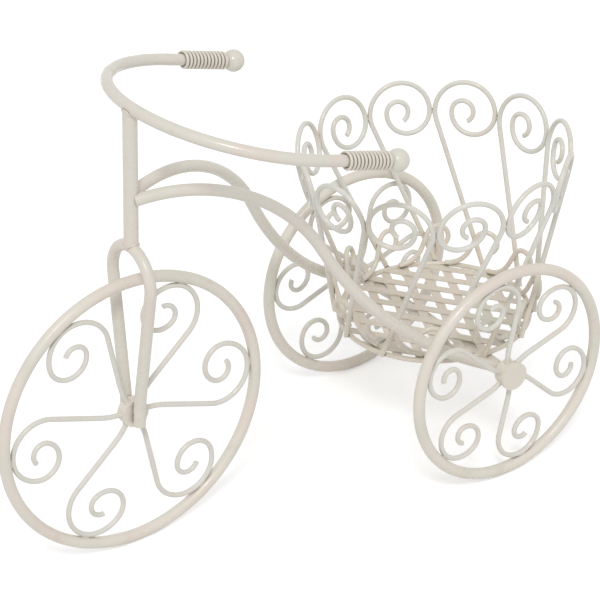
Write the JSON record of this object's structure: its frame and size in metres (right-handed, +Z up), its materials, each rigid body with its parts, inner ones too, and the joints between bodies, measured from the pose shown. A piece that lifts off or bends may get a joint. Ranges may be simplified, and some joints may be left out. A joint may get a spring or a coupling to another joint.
{
  "type": "tricycle plant stand",
  "caption": "Cream metal plant stand shaped like a tricycle, with scrolled spoked wheels that turn, a curved handlebar and a round scrolled basket for a pot over the rear axle.",
  "frame": {"origin": "on the floor, at the middle of the stand's bounding box in length and width", "axes": "+X from the front wheel to the basket, +Y from the left rear wheel to the right one, +Z up"},
  "size_m": [0.552, 0.2468, 0.3997],
  "materials": {
    "frame_rod": "satin cream paint, faintly mottled",
    "scroll_wire": "satin cream paint",
    "grip_wire": "satin cream paint, darker between loops",
    "floor_strip": "satin cream paint, a little uneven"
  },
  "bodies": {
    "frame": {"fork": "frame_rod", "stem": "frame_rod", "handlebar": "frame_rod", "left_grip_coil": "grip_wire", "right_grip_coil": "grip_wire", "left_end_ball": "frame_rod", "right_end_ball": "frame_rod", "left_frame_tube": "frame_rod", "right_frame_tube": "frame_rod", "front_axle": "frame_rod", "rear_axle": "frame_rod", "left_hub_cap": "frame_rod", "right_hub_cap": "frame_rod", "base_ring": "scroll_wire", "floor_lower_strips": "floor_strip", "floor_upper_strips": "floor_strip", "petal_1": "scroll_wire", "petal_2": "scroll_wire", "petal_3": "scroll_wire", "petal_4": "scroll_wire", "petal_5": "scroll_wire", "petal_6": "scroll_wire", "petal_7": "scroll_wire", "petal_8": "scroll_wire", "petal_9": "scroll_wire", "petal_10": "scroll_wire", "petal_11": "scroll_wire", "petal_12": "scroll_wire", "low_scrolls_1": "scroll_wire", "low_scrolls_2": "scroll_wire", "low_scrolls_3": "scroll_wire", "low_scrolls_4": "scroll_wire"},
    "front_wheel": {"front_hub": "frame_rod", "front_rim": "frame_rod", "front_spoke_1": "scroll_wire", "front_spoke_2": "scroll_wire", "front_spoke_3": "scroll_wire", "front_spoke_4": "scroll_wire", "front_spoke_5": "scroll_wire", "front_spoke_6": "scroll_wire"},
    "left_wheel": {"left_hub": "frame_rod", "left_rim": "frame_rod", "left_spoke_1": "scroll_wire", "left_spoke_2": "scroll_wire", "left_spoke_3": "scroll_wire", "left_spoke_4": "scroll_wire", "left_spoke_5": "scroll_wire", "left_spoke_6": "scroll_wire"},
    "right_wheel": {"right_hub": "frame_rod", "right_rim": "frame_rod", "right_spoke_1": "scroll_wire", "right_spoke_2": "scroll_wire", "right_spoke_3": "scroll_wire", "right_spoke_4": "scroll_wire", "right_spoke_5": "scroll_wire", "right_spoke_6": "scroll_wire"}
  },
  "joints": [
    {"name": "front_wheel_spin", "type": "hinge", "parent": "frame", "child": "front_wheel", "pos_m": [-0.15101, 0, 0.125], "axis": [0, 1, 0], "continuous": true},
    {"name": "left_wheel_spin", "type": "hinge", "parent": "frame", "child": "left_wheel", "pos_m": [0.15299, -0.109, 0.1], "axis": [0, 1, 0], "continuous": true},
    {"name": "right_wheel_spin", "type": "hinge", "parent": "frame", "child": "right_wheel", "pos_m": [0.15299, 0.109, 0.1], "axis": [0, 1, 0], "continuous": true}
  ]
}
